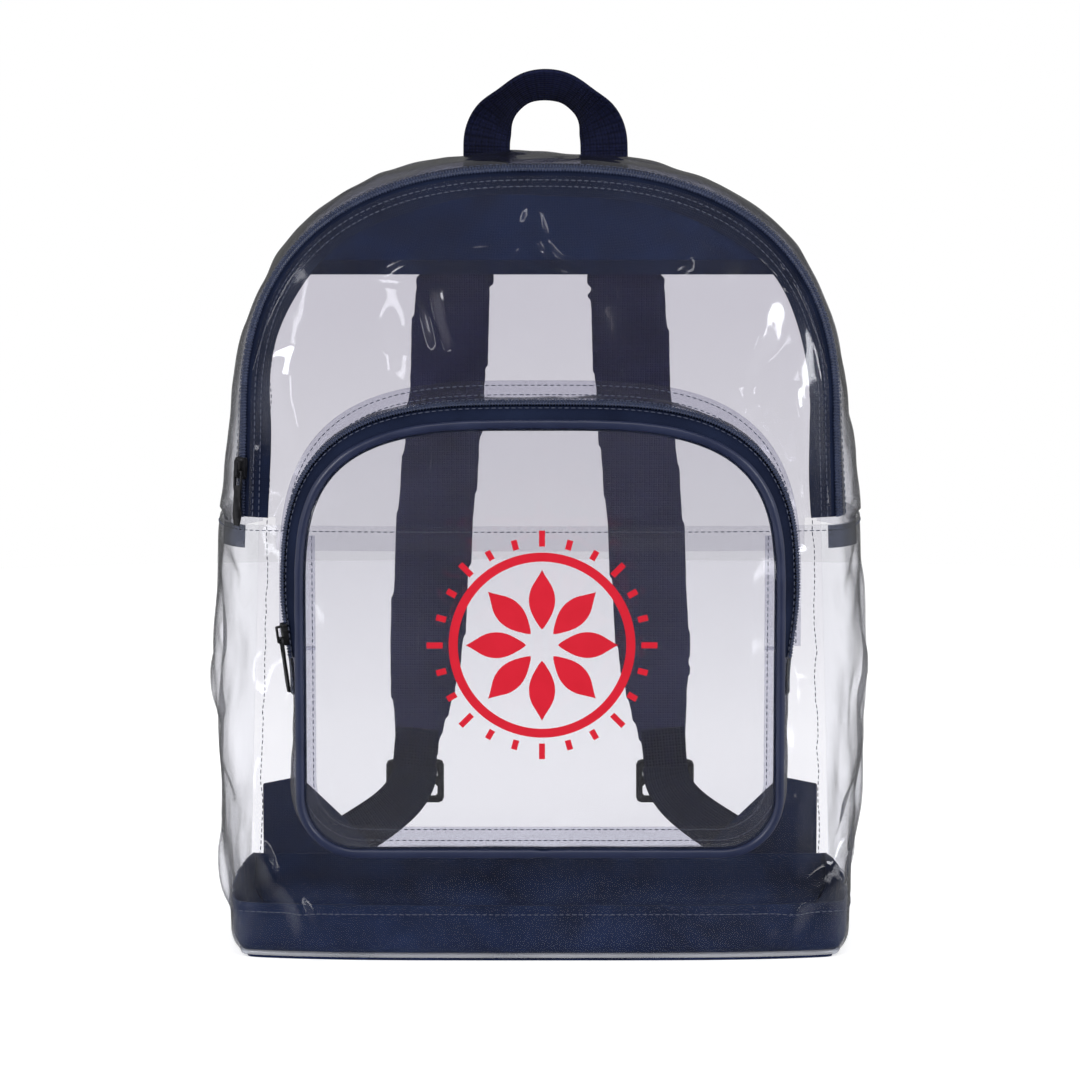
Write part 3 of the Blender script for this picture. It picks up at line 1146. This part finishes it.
window_shares = np.concatenate([np.linspace(1, 0.9, 7), np.linspace(0.87, 0.03, 27)])
window_rings = window_points(window_middle + edge_from * window_shares[:, None, None])
window = dished("clear_pocket_window", window_rings, window_rings + [0, sheet_thickness, 0], (0, 2), window_vinyl)
fasten(window, "clear_vinyl", "pocket_window")

# Print: a rosette in a ring, screened in red ink on the window's face.
dull = {"Specular_IOR_Level": 0.25}
ink = speckled("red_ink", (0.47, 0.0, 0.012), (0.55, 0.002, 0.02), 90, 4, (0.2, 0.4), **dull)
print_middle = np.array([1.0, 172.8])


def printed(name, radius, angle, closed=False):
    """A thin patch of ink over a grid of radii and angles about the rosette's middle."""
    flat = np.stack([radius * np.sin(angle), radius * np.cos(angle)], -1) + print_middle
    face = window_points(flat)
    return walled(name, face - [0, 0.18, 0], face - [0, 0.02, 0], ink, closed)


patches = []
for petal in range(8):
    along = np.linspace(0, 1, 22)[:, None]
    width = 0.30 * np.sin(math.pi * along**0.75) ** 0.8 + 0.012
    spread = np.linspace(-1, 1, 9)[None]
    radius = 8 + 30 * along - 3.0 * along * np.abs(spread) ** 2 + 0 * spread
    patches.append(printed("petal", radius, petal * math.pi / 4 + width * spread))
around = np.linspace(0, 2 * math.pi, 161)[:-1, None] + np.zeros((1, 4))
patches.append(printed("ring", np.linspace(42, 46.5, 4)[None] + 0 * around, around, closed=True))
for bar in range(24):
    radius = np.linspace(49.5, 57.5 if bar % 3 == 0 else 54.5, 5)[:, None] + 0 * np.zeros((1, 3))
    angle = bar * math.pi / 12 + np.linspace(-1, 1, 3)[None] * (1.5 / radius)
    patches.append(printed("bar", radius, angle))
fasten(joined("red_rosette_print", patches), "clear_vinyl")

# Sliders and pulls: die-cast zinc, painted black, with edges rounded by the casting. Each pull hangs on its
# slider's bridge.
worn = {"relief": (1, 0, 0.12, 0.0003), "sharpen": 3, "Metallic": 0.55}
black_paint = speckled("black_paint", (0.012, 0.012, 0.015), (0.05, 0.052, 0.06), 420, 4, (0.25, 0.22), **worn)


def cast(name, node, finish, edge):
    """A packed hard piece with its edges rounded."""
    work = bmesh.new()
    work.from_mesh(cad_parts[node].data)
    bmesh.ops.remove_doubles(work, verts=work.verts, dist=1e-6)
    bmesh.ops.dissolve_limit(work, angle_limit=math.radians(2), verts=work.verts, edges=work.edges)
    sharp = [e for e in work.edges if len(e.link_faces) == 2 and e.calc_face_angle() > math.radians(25)]
    bmesh.ops.bevel(work, geom=sharp, offset=edge / 1000, segments=3, affect="EDGES", clamp_overlap=True)
    bmesh.ops.recalc_face_normals(work, faces=work.faces)
    mesh = bpy.data.meshes.new(name)
    work.to_mesh(mesh)
    work.free()
    mesh.polygons.foreach_set("use_smooth", [True] * len(mesh.polygons))
    mesh.set_sharp_from_angle(angle=math.radians(40))
    mesh.materials.append(finish)
    piece = bpy.data.objects.new(name, mesh)
    scene.collection.objects.link(piece)
    return piece


for zipper in ("main", "pocket"):
    slider = cast("black_" + zipper + "_slider", zipper + "_zipper_slider", black_paint, 0.3)
    fasten(slider, "dark_metal", zipper + "_zipper_slider")
    pull = cast("black_" + zipper + "_pull", zipper + "_zipper_pull", black_paint, 0.25)
    fasten(pull, "dark_metal", zipper + "_zipper_pull", body=zipper + "_pull")

# Haul handle: one length of heavy webbing, turned on edge over the top between two shoulders, its ends sewn
# flat to the yoke with boxed crosses.
heavy_webbing = woven("heavy_webbing", (0.001, 0.0014, 0.007), (0.009, 0.012, 0.045), 0.0034, 0.7, 1.0)
handle_width, handle_half, handle_offset, handle_foot, handle_rise = 25.4, 31.7, 3.0, 396.0, 54.0
webbing_thickness, yoke_face = 2.0, 70.6
handle_y = yoke_face + 0.3 + webbing_thickness / 2
handle_stations = [
    (1, 0, 0, 0),
    (1, 0.3, 0, 0.005),
    (0.98, 0.5, 0.1, 0.02),
    (0.88, 0.67, 0.42, 0.05),
    (0.66, 0.83, 0.84, 0.09),
    (0.34, 0.965, 0.98, 0.1),
    (0, 1, 1, 0.1),
]


def curved(stations, count):
    """A smooth line through its stations."""
    stations = np.asarray(stations, float)
    knots = np.concatenate([[0], np.cumsum(np.linalg.norm(np.diff(stations[:, :3], axis=0), axis=1) ** 0.5)])
    slopes = np.gradient(stations, knots, axis=0)
    at = np.linspace(0, knots[-1], count)
    k = np.clip(np.searchsorted(knots, at, side="right") - 1, 0, len(knots) - 2)
    width = (knots[k + 1] - knots[k])[:, None]
    t = (at[:, None] - knots[k][:, None]) / width
    a, b = stations[k], stations[k + 1]
    early, late = slopes[k] * width, slopes[k + 1] * width
    bend = (2 * t**3 - 3 * t**2 + 1) * a + (t**3 - 2 * t**2 + t) * early
    return bend + (3 * t**2 - 2 * t**3) * b + (t**3 - t**2) * late


def strip_rings(centres, across, width, thickness):
    """Sections of a flat woven strip with softly rounded edges."""
    ahead = unit(np.gradient(centres, axis=0))
    up = unit(np.cross(ahead, across))
    across = unit(np.cross(up, ahead))
    w, t = width / 2, thickness / 2
    half = [(-w, -t * 0.35), (-w + t * 0.5, -t), (-w + t * 2, -t), (-w / 2, -t), (0, -t)]
    half += [(w / 2, -t), (w - t * 2, -t), (w - t * 0.5, -t), (w, -t * 0.35)]
    section = np.array(half + [(-x, -z) for x, z in half])
    return centres[:, None] + section[None, :, :1] * across[:, None] + section[None, :, 1:] * up[:, None]


rows = []
for span, rise, turn_share, lean in handle_stations:
    turn_angle = turn_share * math.pi / 2
    spot = [-handle_half * span, handle_y + lean * handle_width, handle_foot + handle_rise * rise]
    rows.append(spot + [math.cos(turn_angle), 0.78 * math.sin(turn_angle), -0.63 * math.sin(turn_angle)])
rows = np.array(rows + [[-r[0], r[1], r[2], -r[3], r[4], r[5]] for r in rows[-2::-1]])
handle_line = curved(rows, 150)
handle_centres = handle_line[:, :3] + [handle_offset, 0, 0]
handle_rings = strip_rings(handle_centres, unit(handle_line[:, 3:]), handle_width, webbing_thickness)
handle_rings = handle_rings + waves(handle_rings, 19, 18)[..., None] * [0.35, 0.3, 0.25]
fasten(lofted("navy_haul_handle", handle_rings, heavy_webbing), "navy_webbing", "haul_handle")


def boxed_cross(x, z, width, height, y):
    """The stitch line of a box with a cross in it."""
    corners = [(-1, -1), (1, -1), (1, 1), (-1, 1), (-1, -1), (1, 1), (1, -1), (-1, 1)]
    line = [(x + width / 2 * a, y, z + height / 2 * b) for a, b in corners]
    steps = [np.linspace(a, b, 12)[:-1] for a, b in zip(np.array(line), np.array(line)[1:])]
    return np.concatenate(steps)


handle_rows = []
for side in (-1, 1):
    line = boxed_cross(handle_offset + side * handle_half, handle_foot + 6, 19, 9, handle_y + webbing_thickness / 2)
    handle_rows.append((line, np.tile([0, 1.0, 0], (len(line), 1))))
sewn("handle_stitches", handle_rows, "navy_webbing", lift=0.25, pitch=2.6)

# Shoulder straps: foam sewn into brushed cloth, a seam along each a little off its middle, bound edges, the
# top ends sewn under the yoke and the narrow ends over the buckles.
nap = {"sheen": 0.2, "fuzz": 0.5, "flat": True}
brushed = woven("brushed_cloth", (0.008, 0.009, 0.03), (0.03, 0.032, 0.085), 0.0026, 0.85, 0.8, **nap)
strap_top_x, strap_spread, strap_width, strap_thickness, strap_bow = 45.6, 23.8, 44.0, 9.0, 33.0
strap_top, buckle_foot, buckle_height = 350.0, 54.0, 24.0
strap_foot = buckle_foot + buckle_height + 0.3
strap_stations = [
    (0, 0, 0, 0.99, 0.34),
    (0.074, 0.1, 0.2, 0.99, 0.86),
    (0.241, 0.23, 0.63, 0.99, 1),
    (0.526, 0.54, 1, 1, 1),
    (0.774, 0.73, 0.92, 0.955, 1),
    (0.87, 0.83, 0.72, 0.82, 0.88),
    (0.959, 0.95, 0.56, 0.63, 0.66),
    (1, 1, 0.52, 0.6, 0.5),
]
strap_start = yoke_face + 0.3 + strap_thickness * strap_stations[0][4] / 2


def strap_line(side, count):
    rows = []
    for drop, spread, bow, width, thick in strap_stations:
        x, y = side * (strap_top_x + strap_spread * spread), strap_start + strap_bow * bow
        z = strap_top + (strap_foot - strap_top) * drop
        rows.append([x, y, z, strap_width * width, strap_thickness * thick])
    return curved(rows, count)


def padded_strap(name, side):
    """The strap as cut and stuffed: the cloth is held along its seams and swells between them."""
    line = strap_line(side, 110)
    line[:, 4] = np.maximum(line[:, 4], 4.8)
    ahead = np.gradient(line[:, :3], axis=0)
    ahead[[0, -1]] = [0, 0, -1]
    up = unit(np.cross(ahead, [1, 0, 0]))
    across = unit(np.cross(up, ahead))
    angle = (np.arange(36) + 0.5) / 36 * 2 * math.pi
    a = np.sign(np.cos(angle)) * np.abs(np.cos(angle)) ** 0.5 / 2
    b = np.sign(np.sin(angle)) * np.abs(np.sin(angle)) ** 0.8 / 2
    rings = line[:, None, :3] + (a * line[:, 3:4])[..., None] * across[:, None]
    rings = rings + (b * line[:, 4:5] * 0.93)[..., None] * up[:, None]
    piece = lofted(name, rings, brushed)
    even = piece.modifiers.new("even", "REMESH")
    even.mode = "VOXEL"
    even.voxel_size = 0.0032
    ready = bpy.context.evaluated_depsgraph_get()
    mesh = bpy.data.meshes.new_from_object(piece.evaluated_get(ready), depsgraph=ready)
    piece.modifiers.clear()
    piece.data = mesh
    rest = np.empty(len(mesh.vertices) * 3)
    mesh.vertices.foreach_get("co", rest)
    rest = rest.reshape(-1, 3)
    drawn = (rest - to_frame) * 1000
    middle = np.interp(-drawn[:, 2], -line[:, 2], line[:, 0])
    half = np.interp(-drawn[:, 2], -line[:, 2], line[:, 3]) / 2
    place = (drawn[:, 0] - middle) / half
    held = (np.abs(place + 0.24) < 0.07) | (np.abs(place) > 0.8)
    held |= (drawn[:, 2] > strap_top - 8) | (drawn[:, 2] < strap_foot + 10)
    seams = piece.vertex_groups.new(name="seams")
    seams.add(np.nonzero(held)[0].tolist(), 1, "REPLACE")
    cloth = piece.modifiers.new("cloth", "CLOTH")
    cloth.settings.quality = 6
    cloth.settings.mass = 0.25
    cloth.settings.tension_stiffness = 18
    cloth.settings.compression_stiffness = 18
    cloth.settings.bending_stiffness = 0.6
    cloth.settings.use_pressure = True
    cloth.settings.uniform_pressure_force = 4
    cloth.settings.shrink_min = -0.01
    cloth.settings.vertex_group_mass = "seams"
    cloth.settings.effector_weights.gravity = 0
    cloth.point_cache.frame_start = 1
    cloth.point_cache.frame_end = 20
    for frame_number in range(1, 21):
        scene.frame_set(frame_number)
    ready = bpy.context.evaluated_depsgraph_get()
    swollen = np.empty(len(rest) * 3)
    piece.evaluated_get(ready).data.vertices.foreach_get("co", swollen)
    piece.modifiers.clear()
    scene.frame_set(1)
    moved = (swollen.reshape(-1, 3) - rest) * [0.3, 1, 1]
    far = np.linalg.norm(moved, axis=1, keepdims=True)
    moved *= np.minimum(1, 0.0013 / np.maximum(far, 1e-9))
    mesh.vertices.foreach_set("co", (rest + moved).ravel())
    finer = piece.modifiers.new("finer", "SUBSURF")
    finer.levels = 1
    ready = bpy.context.evaluated_depsgraph_get()
    smooth = bpy.data.meshes.new_from_object(piece.evaluated_get(ready), depsgraph=ready)
    piece.modifiers.clear()
    piece.data = smooth
    smooth.polygons.foreach_set("use_smooth", [True] * len(smooth.polygons))
    return piece


for side, name in ((-1, "left"), (1, "right")):
    strap = padded_strap("padded_strap_" + name, side)
    fasten(strap, "strap_cloth", "shoulder_strap_" + name)
    line = strap_line(side, 110)[6:-6]
    rows = []
    for face in (-1, 1):
        for place in (-0.12, -0.42, 0.42):
            spot = line[:, :3] + line[:, 3:4] * [place, 0, 0]
            spot[:, 1] += face * line[:, 4] * (0.41 if place == -0.12 else 0.2)
            rows.append((spot, np.tile([0, float(face), 0], (len(line), 1))))
    sewn("strap_stitches_" + name, rows, "strap_cloth", lift=0.4)

# Buckles: moulded ladder locks with two slots, at the straps' narrow ends.
fine_grain = {"relief": (0, 900, 0.2, 0.0002)}
acetal = speckled("black_acetal", (0.008, 0.008, 0.011), (0.022, 0.023, 0.03), 70, 2, (0.25, 0.28), **fine_grain)
for side, name in ((-1, "left"), (1, "right")):
    buckle = cast("moulded_buckle_" + name, "strap_buckle_" + name, acetal, 0.8)
    fasten(buckle, "black_plastic", "strap_buckle_" + name)
    end = strap_line(side, 3)[-1]
    turn_angle = np.linspace(0, math.pi, 16)
    under = np.stack([np.zeros(16), -2.7 * np.cos(turn_angle), 73.6 - 2.7 * np.sin(turn_angle)], 1)
    down = np.stack([np.zeros(12), np.full(12, -2.7), np.linspace(96, 74.5, 12)], 1)
    loop = np.concatenate([down, under, down[::-1] * [1, -1, 1]]) + [end[0], end[1], 0]
    loop[:, 0] -= side * (loop[:, 2] - strap_foot) * 0.09
    rings = strip_rings(loop, np.tile([1.0, 0, 0], (len(loop), 1)), 24.0, 1.3)
    fasten(lofted("buckle_loop_" + name, rings, heavy_webbing), "navy_webbing")

# Corner pieces and lower webbing: triangles of the bag's cloth, hemmed and sewn to the back's lower corners,
# hold the webbing that runs up to each buckle.
corner_shades = (0.004, 0.008, 0.03), (0.015, 0.027, 0.08)
corner_cloth = woven("corner_cloth", *corner_shades, 0.0009, 0.62, 0.5, coat=0.06, flat=True)
thin_webbing = woven("thin_webbing", (0.002, 0.003, 0.012), (0.014, 0.018, 0.045), 0.0028, 0.6, 0.9)
wing_width, wing_height, wing_thickness, wing_foot = 68.0, 68.0, 1.5, bottom_round + 0.3
wing_outer = float(seam_half(0)) - 1 - bottom_round / 2
wing_y = back_face + 0.3
buckle_y = strap_line(1, 3)[-1, 1] - 2
thin_width, thin_thickness = 25.0, 1.5
for side, name in ((-1, "left"), (1, "right")):
    wing = cast("navy_corner_piece_" + name, "strap_wing_" + name, corner_cloth, 0.45)
    fasten(wing, "navy_cloth", "strap_wing_" + name)
    inner = wing_outer - wing_width
    wing_face = wing_y + wing_thickness + 0.3 + thin_thickness / 2
    high = np.array([side * (strap_top_x + strap_spread), buckle_y - 0.3 - thin_thickness / 2, 74.4])
    low = np.array([side * (inner + (wing_outer - inner) * 0.52), wing_face, wing_foot + thin_width / 2])
    below = np.array([high[0], high[1], (high[2] + low[2]) / 2])
    over = high + (low - high) * 0.7
    over[1] = wing_face
    t = np.linspace(0, 1, 70)[:, None]
    centres = (1 - t) ** 3 * high + 3 * t * (1 - t) ** 2 * below + 3 * t**2 * (1 - t) * over + t**3 * low
    bend = np.clip((t[:, 0] - 0.35) / 0.55, 0, 1)
    bend = bend * bend * (3 - 2 * bend)
    across = unit(np.stack([np.ones(70), np.zeros(70), 0.8 * side * bend], 1))
    webbing = lofted("lower_webbing_" + name, strip_rings(centres, across, thin_width, thin_thickness), thin_webbing)
    fasten(webbing, "navy_webbing", "strap_webbing_" + name)
    edge = [(wing_outer - 3, wing_foot + 3), (wing_outer - 3, wing_height - 3), (wing_outer - 20, wing_height - 0.5)]
    edge += [(inner + 14, wing_foot + 24), (inner + 4, wing_foot + 3), (wing_outer - 3, wing_foot + 3)]
    edge = np.array([(side * x, wing_y + wing_thickness, z) for x, z in edge])
    edge = np.concatenate([np.linspace(a, b, 20)[:-1] for a, b in zip(edge, edge[1:])])
    sewn("corner_stitches_" + name, [(edge, np.tile([0, 1.0, 0], (len(edge), 1)))], "navy_cloth")

size = {"cad": cad_box, "scene": [list(corner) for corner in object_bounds()]}
